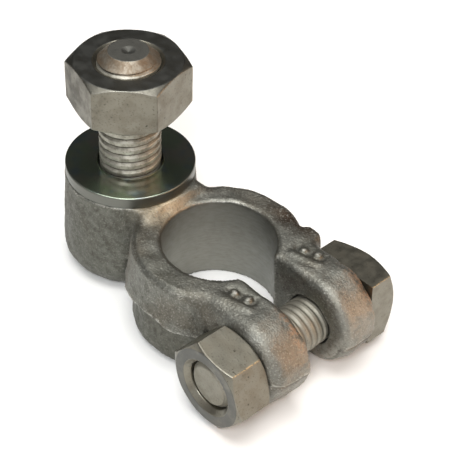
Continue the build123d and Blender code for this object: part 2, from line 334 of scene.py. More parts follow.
def around_axis(radius, height, angles, origin, axis, side):
    """Points at a radius and height about an axis: origin + height x axis + radius x the side
    direction turned by the angle."""
    across = np.cross(axis, side)
    ring = np.cos(angles)[:, None] * side + np.sin(angles)[:, None] * across
    return origin + height[..., None] * axis + radius[..., None] * ring


def grid_faces(rows, columns, joined):
    """Four-sided faces of a grid whose columns run round, and whose rows run round if joined."""
    row = np.arange(rows if joined else rows - 1)[:, None] * columns
    after_row = (row + columns) % (rows * columns)
    column = np.arange(columns)[None, :]
    after = (column + 1) % columns
    corners = [row + column, row + after, after_row + after, after_row + column]
    return np.stack(corners, axis=-1).reshape(-1, 4).tolist()


def turned_faces(rows, columns, joined):
    """Faces of a surface round an axis, whose points are in the order of point_values: a grid,
    closed at each pole by a fan of triangles unless its ends are joined."""
    if joined:
        return grid_faces(rows, columns, True)
    column = np.arange(columns)
    after = (column + 1) % columns
    last_row, first_pole = (rows - 3) * columns, (rows - 2) * columns
    first = [np.full(columns, first_pole), after, column]
    last = [last_row + column, last_row + after, np.full(columns, first_pole + 1)]
    fans = np.concatenate([np.stack(first, axis=1), np.stack(last, axis=1)])
    return grid_faces(rows - 2, columns, False) + fans.tolist()


def point_values(grid, joined):
    """What a grid holds as one row a point. Unless its ends are joined, its first and last rows
    are poles, a single point each, and come last."""
    if joined:
        return grid.reshape(-1, *grid.shape[2:])
    inner = grid[1:-1].reshape(-1, *grid.shape[2:])
    return np.concatenate([inner, grid[:1, 0], grid[-1:, 0]])


# The CAD node that each piece stands for, the body that it rides on and its material slot.
PIECES = {
    "cast_body": ("clamp_body", "clamp", "tinned_casting"),
    "stud": ("terminal_stud", "clamp", "zinc_steel"),
    "washer": ("stud_washer", "clamp", "bright_steel"),
    "nut_on_stud": ("stud_nut", "stud_nut", "zinc_steel"),
    "nut_on_bolt": ("pinch_nut", "pinch_nut", "zinc_steel"),
    "square_bolt": ("pinch_bolt", "pinch_bolt", "zinc_steel"),
}


def dress(name, mesh, finish, marks):
    """Makes the object of a finished mesh, at the origin. Marks are named values at its points
    that its finish reads."""
    mesh.polygons.foreach_set("use_smooth", np.ones(len(mesh.polygons), bool))
    for mark, values in marks.items():
        layer = mesh.attributes.new(mark, "FLOAT", "POINT")
        layer.data.foreach_set("value", np.asarray(values, np.float32))
    mesh.materials.clear()
    mesh.materials.append(finish)
    mesh.update()
    piece = bpy.data.objects.new(name, mesh)
    bpy.context.scene.collection.objects.link(piece)
    node, body, slot = PIECES[name]
    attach(piece, body)
    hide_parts(node)


def turned_piece(name, place, grid, finish, marks, joined):
    """A piece whose surface runs round an axis, from its radius and height on a grid of rows and
    angles. Its marks lie on the same grid."""
    radius, height, angles = grid
    mesh = bpy.data.meshes.new(name)
    points = point_values(around_axis(radius, height, angles, *place), joined)
    mesh.from_pydata(points.tolist(), [], turned_faces(*radius.shape, joined))
    for mark, values in marks.items():
        marks[mark] = point_values(np.broadcast_to(values, radius.shape), joined)
    dress(name, mesh, finish, marks)


def hexagon_nut(name, place, bore, settings, finish):
    """A chamfered hexagon nut with a countersunk bore. Its radius is the lower of a turned
    profile's and the hexagon's. The settings hold its flats, countersink and turn under its node's
    name. The corner at the angle of its turn shows gold, which is edge wear with a painted warm
    highlight, and one side is painted with shade."""
    node = PIECES[name][0]
    flats, countersink, turn = (
        getattr(settings, f"{node}_{size}") for size in ("flats", "countersink", "turn")
    )
    low, high = (np.array(corner) @ place[1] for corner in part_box(node))
    middle = (low + high) / 2
    face, reach, fall = turned_blank("nut", flats, 6, settings.chamfer_slope)
    mouth = countersink / 2
    sink = mouth - bore
    outside = [(mouth, low), (face, low), (reach, low + fall)]
    outside += [(radius, low + high - height) for radius, height in outside[::-1]]
    path = outside[2:] + [(bore, high - sink), (bore, low + sink)] + outside[:2]
    path = rounded_path(path, rounding=0.12 * MM, spacing=0.22 * MM, closed=True)
    angles = corner_angles(sides=6, steps=44, turn=turn)
    softness = settings.edge_softness
    turned, hexagon, radius, height = cut_blank(path, angles, 0.0, flats, 6, turn, softness)
    points = around_axis(radius, height, angles, *place)
    radius = radius + unevenness("nut_width", points)
    height = height + unevenness("nut_height", points)
    corner, arcs = edge_wear(turned, hexagon, corner_width=0.05 * MM, arc_width=0.09 * MM)
    level = np.abs(height - middle) > (high - low) / 2 - LEVEL
    chamfer = np.clip((hexagon - turned) / (0.2 * MM), 0, 1) * (height > middle)
    outer = radius > mouth
    marks = {
        # Painted shade on the side of the nut away from the corner at its turn.
        "grimy": 0.85 * np.clip(0.2 - np.cos(angles - turn + 0.35), 0, 1) * outer,
        "arc_wear": arcs * (turned > face * 1.005),
        # Gold on the corner at the nut's turn: edge wear with a painted warm highlight.
        "gold_wear": corner * np.exp(-(angle_from(angles, turn) ** 2) / 0.05),
        "turned_face": np.where(level, 1.0, 0.5 * chamfer) * outer,
    }
    turned_piece(name, place, (radius, height, angles), finish, marks, joined=True)


def screw(kind, path, place, settings, threading, sides, steps, turn):
    """A stud or bolt from its profile: a polygon is cut at the head, and the thread's groove into
    the shank, as deep as the share that threading gives of the height and the profile's radius."""
    diameter, pitch, depth, flats = (
        getattr(settings, f"{kind}_{size}")
        for size in ("diameter", "pitch", "thread_depth", "head_flats")
    )
    crest, softness = diameter / 2, settings.edge_softness
    angles = corner_angles(sides, steps, turn)
    turned, polygon, radius, height = cut_blank(path, angles, crest, flats, sides, turn, softness)
    groove = thread_groove(height, angles, pitch, GROOVE_HALF_WIDTHS[kind])
    run = threading(height, turned)
    threaded = np.minimum(radius, crest - groove * depth * run)
    radius = np.where(run > 0, threaded, radius)
    points = around_axis(radius, height, angles, *place)
    radius = np.maximum(radius + unevenness(kind, points) * (radius > 0), 0)
    return turned, polygon, groove, run, (radius, height, angles)


def read_rows(items, name, width, kind=float):
    """A named value of a mesh's points or edges, as one row of the width for each."""
    values = np.empty(len(items) * width, kind)
    items.foreach_get(name, values)
    return values.reshape(-1, width)


def merged_copy(node):
    """A copy of a CAD node's mesh with its doubled points merged."""
    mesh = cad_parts[node].data.copy()
    work = bmesh.new()
    work.from_mesh(mesh)
    bmesh.ops.remove_doubles(work, verts=work.verts, dist=0.001 * MM)
    work.to_mesh(mesh)
    work.free()
    return mesh


def even_mesh(mesh, voxel):
    """The same solid with evenly spaced points, by a voxel remesh."""
    carrier = bpy.data.objects.new("even_carrier", mesh)
    bpy.context.scene.collection.objects.link(carrier)
    remesh = carrier.modifiers.new("even", "REMESH")
    remesh.mode = "VOXEL"
    remesh.voxel_size = voxel
    seen = carrier.evaluated_get(bpy.context.evaluated_depsgraph_get())
    made = bpy.data.meshes.new_from_object(seen)
    bpy.data.objects.remove(carrier)
    return made


def neighbour_mean(values, edges):
    """Mean over each point's neighbours of the values held at the points."""
    count = len(values)
    ends, others = edges.ravel(), edges[:, ::-1].ravel()
    flat = values.reshape(count, -1)
    sums = [np.bincount(ends, weights=column[others], minlength=count) for column in flat.T]
    neighbours = np.bincount(ends, minlength=count)
    return (np.stack(sums, axis=1) / neighbours[:, None]).reshape(values.shape)


def relax(points, edges, weight, passes):
    """Each pass moves every point by its weight towards the mean of its neighbours."""
    for _ in range(passes):
        points = points + weight[:, None] * (neighbour_mean(points, edges) - points)
    return points


def settle(mesh, points):
    """Moves the mesh's points to these places and gives its normals there."""
    mesh.vertices.foreach_set("co", points.ravel())
    mesh.update()
    return read_rows(mesh.vertices, "normal", 3)


# ---------------------------------------------------------------- finishes

MIX_FIRST, MIX_SECOND, MIX_COLOUR = 6, 7, 2  # a Mix node's sockets for colours


class Nodes:
    """A material's or the world's nodes, with short calls that add and join them. Patterns are
    placed by the named output of Texture Coordinate, and colours are settings by name."""

    def __init__(self, tree, settings, place):
        self.tree, self.settings = tree, settings
        tree.nodes.clear()
        self.place = self.add("TexCoord", place, {})

    def join(self, source, socket):
        """Joins a node's output to a socket, or sets the socket if the source is a plain value."""
        if isinstance(source, bpy.types.NodeSocket):
            self.tree.links.new(source, socket)
        elif hasattr(source, "__len__"):
            socket.default_value = (*source, 1.0)[: len(socket.default_value)]
        else:
            socket.default_value = source

    def add(self, kind, output, sockets, **traits):
        """Adds a node with its traits, joins its sockets and gives an output."""
        node = self.tree.nodes.new("ShaderNode" + kind)
        for trait, value in traits.items():
            setattr(node, trait, value)
        for socket, source in sockets.items():
            self.join(source, node.inputs[socket])
        return node.outputs[output]

    def noise(self, millimetres, detail=3.0, roughness=0.55, stretch=None):
        """Noise whose blotches are about this wide, 0 to 1."""
        place = self.place
        if stretch:
            place = self.add("Mapping", "Vector", {"Vector": place, "Scale": stretch})
        sockets = {"Scale": 1 / (millimetres * MM), "Detail": detail, "Roughness": roughness}
        return self.add("TexNoise", "Fac", {"Vector": place, **sockets})

    def mark(self, name):
        """A value held at the mesh's points."""
        return self.add("Attribute", "Fac", {}, attribute_name=name)

    def ranged(self, value, low, high, start=0.0, stop=1.0):
        """The value carried smoothly from low..high to start..stop."""
        limits = {"From Min": low, "From Max": high, "To Min": start, "To Max": stop}
        sockets = {"Value": value, **limits}
        return self.add("MapRange", "Result", sockets, interpolation_type="SMOOTHSTEP")

    def sum_of(self, operation, first, second):
        """Two values joined by an arithmetic operation."""
        return self.add("Math", "Value", {0: first, 1: second}, operation=operation)

    def within(self, mark, cover):
        """A mark times a cover, which is a node's value or a plain share."""
        return self.sum_of("MULTIPLY", self.mark(mark), cover)

    def broken(self, mark, pattern, *limits):
        """A mark times a pattern that is carried between its limits."""
        return self.within(mark, self.ranged(pattern, *limits))

    def coats(self, base, *coats):
        """A base colour under coats of colour, the lowest first, each blended over by its cover
        from 0 to 1."""
        base = getattr(self.settings, base)
        for tint, cover in coats:
            tint = getattr(self.settings, tint) if isinstance(tint, str) else tint
            sockets = {"Factor": cover, MIX_FIRST: base, MIX_SECOND: tint}
            base = self.add("Mix", MIX_COLOUR, sockets, data_type="RGBA")
        return base

    def bump(self, height, millimetres, **under):
        """A bump of the height's range times the depth, over the bump under it, if any."""
        sockets = {"Strength": 1.0, "Distance": millimetres * MM, "Height": height, **under}
        return self.add("Bump", "Normal", sockets)


def made(name, settings, build, metallic=1.0, specular=0.5):
    """A material whose colour, roughness and bump are what the build gives from its nodes."""
    material = bpy.data.materials.new(name)
    material.use_nodes = True
    make = Nodes(material.node_tree, settings, "Object")
    surface = make.tree.nodes.new("ShaderNodeBsdfPrincipled")
    output = make.tree.nodes.new("ShaderNodeOutputMaterial")
    make.tree.links.new(surface.outputs["BSDF"], output.inputs["Surface"])
    surface.inputs["Metallic"].default_value = metallic
    surface.inputs["Specular IOR Level"].default_value = specular
    for socket, source in zip(("Base Color", "Roughness", "Normal"), build(make)):
        make.join(source, surface.inputs[socket])
    return material


def cast_finish(make):
    """Dull plating over cast brass: brown clouds and fine speckle over the tin, tan where it has
    worn, rust, dirt in specks, rubbed ridges, and the reamed bore, which has neither speckle nor
    bump. Painted light lies over these: shade in the hollows, creases and corners and under the
    flash, a highlight on the flash line, silver highlights, and a warm reflection with warm
    highlights on the ears' ends. Each coat's cover is its mark times a pattern of noise."""
    speckle = make.noise(0.30, 2.0, 0.6)
    mottle = make.noise(1.1, 4.0, 0.7)
    grit = make.noise(0.42, 3.0, 0.7)
    cloud = make.noise(6.0)
    scuffs = make.ranged(make.noise(0.9, 3.0, 0.7), 0.42, 0.56, 0.1, 1.0)
    turning = make.noise(0.5, 3.0, 0.6, stretch=(0.35, 0.35, 1.6))
    clean = make.sum_of("SUBTRACT", 1.0, make.within("dull", 0.75))
    sparkle = make.sum_of("MULTIPLY", clean, make.ranged(speckle, 0.50, 0.74, 0.0, 0.55))
    # Rubbed ridges, and a painted highlight on the flash line, which the ridge mark holds.
    ridge = make.sum_of("MULTIPLY", make.ranged(make.mark("ridge"), 0.10, 0.55), scuffs)
    reamed = make.coats(
        "reamed",
        ("stain", make.ranged(turning, 0.35, 0.70, 0.0, 0.3)),
        ("tan", make.mark("bore_tan")),
    )
    base = make.coats(
        "tin",
        ("stain", make.ranged(cloud, 0.40, 0.66, 0.0, 0.8)),
        ("dull", make.broken("dull", mottle, 0.30, 0.60, 0.5, 1.0)),
        # Painted warm reflection on the ears' ends.
        ("copper", make.broken("warm", mottle, 0.40, 0.64, 0.10, 0.85)),
        # Painted warm highlight at the upper corners of the ears' ends.
        ("ember", make.broken("ember", mottle, 0.44, 0.60, 0.0, 0.9)),
        ("tan", make.broken("tan", mottle, 0.35, 0.65, 0.6, 1.0)),
        ("rust", make.broken("rust", mottle, 0.35, 0.55, 0.4, 1.0)),
        # Painted shade in the broad hollows, such as the ears' roots.
        ("soot", make.broken("hollow", mottle, 0.30, 0.60, 0.35, 0.85)),
        ("soot", make.ranged(mottle, 0.50, 0.74, 0.0, 0.5)),
        # Painted silver highlight on the ears' ends and the rear ear's slot face.
        ("bright", make.broken("silver", mottle, 0.35, 0.60, 0.4, 1.0)),
        ("bright", sparkle),
        ("soot", make.ranged(grit, 0.54, 0.72, 0.0, 0.5)),
        # Bright on rubbed ridges, and a painted highlight along the flash line.
        ("bright", ridge),
        # Painted shade in the creases and under the flash.
        ("soot", make.mark("crevice")),
        (reamed, make.mark("machined")),
    )
    rough_cast = make.ranged(mottle, 0.3, 0.7, 0.50, 0.62)
    roughness = make.sum_of("ADD", rough_cast, make.within("machined", -0.10))
    rough = make.sum_of("SUBTRACT", 1.0, make.mark("machined"))
    normal = make.bump(make.sum_of("MULTIPLY", speckle, rough), 0.07)
    normal = make.bump(make.sum_of("MULTIPLY", mottle, rough), 0.09, Normal=normal)
    return base, roughness, normal


def edge_coats(make, grit):
    """Coats of wear on a nut or head: gold on one corner, which is edge wear with a painted warm
    highlight, and polish along its arcs.
    """
    return (
        # Gold on one corner: edge wear with a painted warm highlight.
        ("gold", make.broken("gold_wear", grit, 0.42, 0.60, 0.1, 1.0)),
        ("polished", make.broken("arc_wear", grit, 0.3, 0.6, 0.3, 0.9)),
    )


def zinc_finish(make):
    """Dull zinc plating of the nuts: blotches, fine dark specks, painted shade on one side, a worn
    dark face, and one corner that shines with edge wear and a painted warm highlight."""
    blotch = make.noise(2.4, 4.0, 0.6)
    grit = make.noise(0.30, 2.0, 0.5)
    speck = make.noise(0.9, 2.0, 0.5)
    base = make.coats(
        "zinc",
        ("zinc_shade", make.ranged(blotch, 0.40, 0.68, 0.0, 0.7)),
        ("soot", make.ranged(grit, 0.58, 0.74, 0.0, 0.45)),
        ("soot", make.ranged(speck, 0.70, 0.76, 0.0, 0.8)),
        # Painted shade on one side of the nut.
        ("grime", make.broken("grimy", blotch, 0.35, 0.60, 0.45, 1.0)),
        ("worn", make.broken("turned_face", blotch, 0.25, 0.55, 0.55, 1.0)),
        *edge_coats(make, grit),
    )
    return base, make.ranged(blotch, 0.3, 0.7, 0.36, 0.50), make.bump(grit, 0.012)


def thread_finish(make):
    """Pale matte plating of the stud: painted shade at the thread's roots, a painted warm shadow on
    it under the nut, a warm worn cone, and a worn end whose dimple is darkened."""
    blotch = make.noise(1.2, 4.0, 0.6)
    grit = make.noise(0.30, 2.0, 0.5)
    base = make.coats(
        "thread_zinc",
        ("zinc", make.ranged(blotch, 0.40, 0.70, 0.0, 0.7)),
        ("zinc_shade", make.ranged(grit, 0.56, 0.74, 0.0, 0.4)),
        # Painted shade at the thread's roots.
        ("soot", make.ranged(make.mark("groove"), 0.60, 1.0, 0.0, 0.85)),
        # Painted warm shadow on the thread just under the nut.
        ("oil", make.broken("oiled", blotch, 0.30, 0.60, 0.4, 0.8)),
        ("worn_cone", make.broken("cone", blotch, 0.30, 0.65, 0.55, 1.0)),
        # The dimple is darkened.
        ("soot", make.within("dimple", 0.8)),
        ("worn", make.within("turned_face", 0.9)),
    )
    return base, make.ranged(blotch, 0.3, 0.7, 0.52, 0.64), make.bump(grit, 0.03)


def bolt_finish(make):
    """Zinc plating of the pinch bolt: paler and rougher in the thread, with faint painted shade at
    its roots, streaks along the head's top and wear on its edges, where one corner of the head
    shows gold with a painted warm highlight."""
    blotch = make.noise(2.0, 4.0, 0.6)
    grit = make.noise(0.30, 2.0, 0.5)
    streak = make.noise(0.35, 3.0, 0.6, stretch=(1.0, 0.12, 1.0))
    base = make.coats(
        "zinc",
        ("zinc_shade", make.ranged(blotch, 0.40, 0.70, 0.0, 0.6)),
        ("thread_zinc", make.within("threaded", 0.4)),
        ("soot", make.ranged(grit, 0.58, 0.74, 0.0, 0.35)),
        ("worn", make.broken("scored", streak, 0.42, 0.62, 0.2, 1.0)),
        # Faint painted shade at the thread's roots.
        ("soot", make.ranged(make.mark("groove"), 0.55, 1.0, 0.0, 0.40)),
        *edge_coats(make, grit),
    )
    plating = make.ranged(blotch, 0.3, 0.7, 0.36, 0.48)
    roughness = make.sum_of("ADD", plating, make.within("threaded", 0.20))
    return base, roughness, make.bump(streak, 0.012)


def washer_finish(make):
    """Smooth plating on the washer's faces with faint colour clouds, and a rougher cut edge painted
    darker as shade.
    """
    cloud = make.noise(5.0)
    tinge = make.noise(3.2, 2.0)
    streak = make.noise(0.6, 4.0)
    # The cut edge is rougher and painted darker as shade.
    edge = make.mark("cut_edge")
    base = make.coats(
        "washer_face",
        ("washer_green", make.ranged(cloud, 0.38, 0.62)),
        ("washer_blue", make.ranged(tinge, 0.50, 0.70, 0.0, 0.7)),
        ("washer_edge", make.ranged(streak, 0.58, 0.74, 0.0, 0.35)),
        # Painted shade on the cut edge.
        ("washer_edge", edge),
    )
    return base, make.ranged(edge, 0.0, 1.0, 0.19, 0.38), make.bump(streak, 0.006)


def floor_finish(make):
    """Plain matte paint."""
    return make.settings.floor_colour, 0.9


# ---------------------------------------------------------------- pieces

# Places on the casting, in millimetres from the post bore's axis at its foot.

# Spans: where a value enters one, and how far past there it leaves it.
SPANS = {
    "ear_marks": (1.5, 2.5),
    "shoulder": (0.0, 4.2),
    "rear_edge": (0.0, 2.6),
    "bolt_seat": (-5.5, 1.5),
    "neck": (12.0, 2.0),
    "front": (-6.0, 8.0),
    "front_length": (5.0, 4.0),
    "ear_along": (20.0, 3.0),
    "ear_across": (6.0, 5.0),
    "lifted": (0.0, 5.5),
    "under_parting": (-0.3, 0.3),
    "lower_wall": (2.0, 5.0),
    "ear_tip": (16.0, 3.0),
    "off_slot": (3.35, 0.7),
    "ear_end": (-2.0, 3.0),
    "ear_top": (-11.0, 8.0),
    "slot_edge": (1.2, 1.8),
    "boss_wall": (11.5, 3.0),
    "dull_half": (-0.5, 0.6),
    "clean_ears": (12.0, 6.0),
    # Band under the stud nut where a warm shadow is painted.
    "oiled": (0.0, 2.0),
}

# Round spots: the two coordinates of the middle, the stretch along each, and the reach.
SPOTS = {
    "ear_root": (8.6, 0.0, 1.0, 1.0, 4.5),
    "neck_tan": (-11.3, -1.5, 1.2, 1.0, 6.5),
    "top_rust": (4.0, 12.0, 1.9, 1.0, 4.2),
    "end_rust": (24.0, 6.0, 1.0, 1 / 1.4, 3.5),
    # Where the painted warm highlight on the ears' ends sits.
    "ember": (19.0, 12.5, 1.0, 1.0, 5.0),
    "front_top": (1.0, -11.5, 1.0, 1 / 1.2, 9.0),
    # Where the painted highlight on the rear ear's slot face sits.
    "slot_glint": (21.0, 5.0, 1.0, 1.0, 8.0),
}

# Low mounds: the middle and the width.
# The third mound is the band under the flash where shade is painted.
MOUNDS = {"swell": (-0.3, 3.2), "flash": (0.1, 0.27), "flash_shadow": (-0.55, 0.36)}

NECK_SHOULDERS = ((-11.5, 7.3), (-11.5, -6.0))
EDGE_PASSES, MARK_PASSES, ROOT_PASSES = 2, 7, 66
FEWEST_POINTS = 1000
NEAR_FACE = 0.2 * MM  # how near to a machined face a point belongs to it
FOOT = 0.15 * MM
BORE_ENDS = 0.3 * MM
BORE_LIP = 1.2 * MM
BORE_BEHIND_SLOT = 0.9  # share of the bore's radius
SLOT_HALF = 3.3 * MM
SLOT_SPLIT = 3.5 * MM
SLOT_MARGIN = 3.8 * MM
SLOT_START = 7.0 * MM
BOLT_FACE_RADIUS = 7.0 * MM
WASHER_FACE_RADIUS = 10.4 * MM
MARKS_BEHIND_BOLT = 4.7 * MM
MARKS_APART = 7.3 * MM
MARKS_SHIFT = 0.8 * MM
MARKS_DEEP = 1.2 * MM
REAR_EDGE_START = 14 * MM
TOP_RUST_ABOVE = 14 * MM
END_RUST_BEHIND = 8 * MM
WANDER = 4.0 * MM  # length of the parting line's waves
STUD_HEAD_HIGH = 7.0 * MM
THREAD_RELIEF = 0.05 * MM
NUT_CLEARANCE = 0.05 * MM
# How far under the stud nut the painted warm shadow is centred.
SHADOW_BELOW_NUT = 0.8 * MM
WASHER_COLUMNS = 192


def slope(value, name):
    """How far the value has come through a span, from 0 to 1."""
    start, width = SPANS[name]
    return np.clip((value - start * MM) / (width * MM), 0, 1)


def faded(t):
    """1 where t is 0 and 0 where it is 1 or more, as a smooth step."""
    t = np.clip(1 - t, 0, 1)
    return t * t * (3 - 2 * t)


def fade(value, name):
    """1 before a span and 0 past it, as a smooth step."""
    return faded(slope(value, name))


def spot(across, along, name):
    """1 in the middle of a spot and 0 past its reach, as a smooth step of the distance."""
    middle_across, middle_along, wide, tall, reach = SPOTS[name]
    aside = np.hypot((across - middle_across * MM) / wide, (along - middle_along * MM) / tall)
    return faded(aside / (reach * MM))


def mound(value, name):
    """exp(-(distance from the mound's middle / its width)^2)."""
    middle, width = MOUNDS[name]
    return np.exp(-(((value - middle * MM) / (width * MM)) ** 2))


def axis_of(node, along):
    """Place of an axis through the middle of a node: its origin, its direction and its side."""
    low, high = (np.array(corner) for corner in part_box(node))
    middle = (low + high) / 2
    if along == "Z":
        return np.array([middle[0], middle[1], 0.0]), np.array([0.0, 0, 1]), np.array([1.0, 0, 0])
    return np.array([middle[0], 0.0, middle[2]]), np.array([0.0, 1, 0]), np.array([0.0, 0, 1])


class Casting:
    """The cast surface while it is shaped: even points over the CAD solid, their edges, and where
    its parts lie. Each step moves the points, and marks gives what the finish reads."""

    def __init__(self, settings, head_height):
        self.settings = settings
        self.mesh = even_mesh(merged_copy("clamp_body"), settings.voxel)
        if len(self.mesh.vertices) < FEWEST_POINTS:
            raise RuntimeError("the cast body's surface came out empty")
        self.points = read_rows(self.mesh.vertices, "co", 3)
        self.edges = read_rows(self.mesh.edges, "vertices", 2, np.int64)
        self.low, self.high = (corner.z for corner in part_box("clamp_body"))
        self.bolt = axis_of("pinch_nut", "Y")[0]
        self.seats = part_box("pinch_nut")[1].y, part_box("pinch_bolt")[1].y - head_height
        self.ears_middle = sum(self.seats) / 2
        self.collar_top = 2 * self.bolt[2]

        x, y, z = self.points.T
        stud = axis_of("stud_washer", "Z")[0]
        self.from_stud = np.hypot(x - stud[0], y - stud[1])
        self.bore = self.bore_radius()
        inside = (z > BORE_ENDS) & (z < self.collar_top - BORE_ENDS)
        inside &= (x < self.bore * BORE_BEHIND_SLOT) | (np.abs(y) > SLOT_SPLIT)
        self.in_bore = (np.abs(np.hypot(x, y) - self.bore) < NEAR_FACE) & inside
        on_boss = (z > self.high - NEAR_FACE) & (self.from_stud < WASHER_FACE_RADIUS)
        on_seats = np.logical_or(*(np.abs(y - seat) < NEAR_FACE for seat in self.seats))
        on_seats &= self.from_bolt(self.points) < BOLT_FACE_RADIUS
        self.held = self.in_bore | on_boss | on_seats | (z < FOOT)
        behind = x - self.bolt[0] + MARKS_BEHIND_BOLT
        aside = np.abs(y - self.ears_middle - MARKS_SHIFT) - MARKS_APART
        self.marked = fade(np.hypot(behind, aside), "ear_marks")
        self.marked *= z > self.collar_top - MARKS_DEEP

    def bore_radius(self):
        """The tapered bore's radius at each point: its top's, and half the taper for each unit of
        depth below there."""
        deep = self.collar_top - self.points[:, 2]
        return self.settings.bore_top_diameter / 2 + deep * self.settings.bore_taper / 2

    def from_bolt(self, points):
        """Distance of the points from the pinch bolt's axis."""
        return np.hypot(points[:, 0] - self.bolt[0], points[:, 2] - self.bolt[2])

    def soften(self):
        """Softens all edges and the sunk marks, then fills the hollows beside the ears' roots and
        the neck's shoulders and rounds the rear ear's edge on the slot, by passes of relax."""
        x, y, _ = self.points.T
        free = 0.5 * ~self.held
        points = relax(self.points, self.edges, free, EDGE_PASSES)
        points = relax(points, self.edges, free * self.marked, MARK_PASSES)
        root = np.zeros(len(points))
        for seat in self.seats:
            root = np.maximum(root, spot(x, y - seat, "ear_root"))
        for shoulder in NECK_SHOULDERS:
            place = [shoulder[0] * MM, shoulder[1] * MM, self.collar_top]
            root = np.maximum(root, fade(np.linalg.norm(points - place, axis=1), "shoulder"))
        off_rim = self.from_bolt(points) - self.bolt[2]
        edge = np.hypot(off_rim, points[:, 1] - self.ears_middle - SLOT_HALF)
        root = np.maximum(root, fade(edge, "rear_edge") * (points[:, 0] > REAR_EDGE_START))
        self.points = relax(points, self.edges, 0.6 * root * ~self.held, ROOT_PASSES)

    def part(self):
        """Parting line: it rises along the front and wanders by waves. Points near it are lifted
        with it, the wall below is set back, the ears' ends are filled, and flash stands out as a
        mound along it."""
        settings, points = self.settings, self.points
        self.normals = settle(self.mesh, points)
        x, y, z = points.T
        off_middle = np.abs(y - self.ears_middle)
        self.wall = np.clip(1 - np.abs(self.normals[:, 2]) * 1.2, 0, 1)
        outside = ~(self.in_bore | (np.hypot(x, y) < self.bore + BORE_LIP)) * 1.0
        outside *= fade(-self.from_bolt(points), "bolt_seat") * fade(-x, "neck")
        wander = wave_noise(points * [1, 1, 0], WANDER, seed=11, waves=12)
        front = fade(y, "front") * fade(-x, "front_length")
        swell = mound(x, "swell") + slope(x, "ear_along") * slope(-y, "ear_across")
        lift = front * (settings.parting_rise + settings.parting_swell * swell)
        lift += settings.parting_wave * wander
        points[:, 2] += lift * fade(np.abs(z - settings.parting_height), "lifted") * outside
        self.above = points[:, 2] - settings.parting_height - lift
        self.in_slot = (off_middle < SLOT_MARGIN) & (x > SLOT_START)
        self.parted = outside * ~(self.in_slot | self.held)
        below = fade(self.above, "under_parting") * fade(-self.above, "lower_wall")
        tip = slope(x, "ear_tip")
        setback = settings.lower_setback * (1 - tip) * self.parted
        fill = settings.ear_fill * tip * slope(off_middle, "off_slot") * outside * ~self.held
        self.flash = mound(self.above, "flash") * self.parted * self.wall
        points -= self.normals * [1, 1, 0] * ((setback - fill) * below)[:, None]
        stand = settings.flash_height * self.flash * np.clip(0.7 + 0.5 * wander, 0, 1.5)
        points += self.normals * stand[:, None]

    def roughen(self):
        """Moves the points along their normals by cast grain of two sizes and by shallow lumps,
        which are waves, and puts the reamed bore back on its taper."""
        settings, points = self.settings, self.points
        grain = wave_noise(points, settings.grain_size, seed=21, waves=64)
        grain += 0.6 * wave_noise(points, settings.grain_size * 0.55, seed=22, waves=64)
        lumps = wave_noise(points, settings.lump_size, seed=23, waves=32)
        depth = settings.grain_depth * grain
        depth += settings.lump_depth * lumps * (1 - 0.6 * self.marked)
        points += self.normals * (depth * ~self.held)[:, None]
        radial = points[:, :2] / np.maximum(np.hypot(*points[:, :2].T), MM)[:, None]
        self.bore = self.bore_radius()
        points[self.in_bore, :2] = (radial * self.bore[:, None])[self.in_bore]
        points[:, 2] = np.clip(points[:, 2], self.low, self.high)

    def marks(self):
        """Settles the points and gives the marks that the finish reads. A hollow or a ridge is how
        far the neighbours' mean lies out of or in the surface; the rest are spans and spots, bound
        by which way the surface faces."""
        normals = settle(self.mesh, self.points)
        x, y, z = self.points.T
        upward = np.clip(normals[:, 2], 0, 1)
        off_mean = neighbour_mean(self.points, self.edges) - self.points
        hollow = (off_mean * normals).sum(axis=1) / self.settings.voxel
        for _ in range(3):
            hollow = neighbour_mean(hollow, self.edges)
        # The hollowness spread wide: it becomes painted shade in the ears' roots and other broad
        # hollows.
        broad_shade = hollow
        for _ in range(24):
            broad_shade = neighbour_mean(broad_shade, self.edges)
        rear = y > self.ears_middle
        ear_end = fade(self.bolt[0] - x, "ear_end") * (0.35 + 0.65 * fade(-z, "ear_top"))
        # Painted warm reflection: the ears' ends, most where they face +Y and +X, towards the warm
        # lamp.
        warm = ear_end * np.clip(normals[:, 1] * 0.8 + normals[:, 0] * 0.3 + 0.15, 0, 1)
        rust = spot(x, y, "top_rust") * (z > TOP_RUST_ABOVE)
        rust = np.maximum(rust, 0.8 * spot(x, z, "end_rust") * (y > END_RUST_BEHIND))
        rear_side = np.where(rear, self.seats[1], self.ears_middle - SLOT_HALF)
        # Painted warm highlight at the upper corner of each ear's end, along its +Y side.
        ember = spot(x, z, "ember") * fade(np.abs(y - rear_side), "slot_edge")
        boss_side = 0.75 * fade(self.from_stud, "boss_wall") * (1 - 0.8 * upward)
        dull = np.maximum(boss_side, 0.9 * fade(self.above, "dull_half") * self.parted)
        # Over the sunk marks on the ears it is painted shade.
        dull = np.maximum(dull * (1 - slope(x, "clean_ears")), 0.5 * self.marked)
        dull = np.maximum(dull, 0.6 * spot(x, y, "front_top") * upward)
        # Painted silver highlight: the ears' ends where they face +X and away from +Y, and the rear
        # ear's slot face near its end.
        silver = ear_end * np.clip(normals[:, 0], 0, 1) * np.clip(0.7 - normals[:, 1] * 1.5, 0, 1)
        slot_side = self.in_slot * rear * np.clip(-normals[:, 1], 0, 1)
        slot_side = slot_side * spot(x, z, "slot_glint")
        silver = np.maximum(silver * np.where(rear, 0.5, 0.2), slot_side)
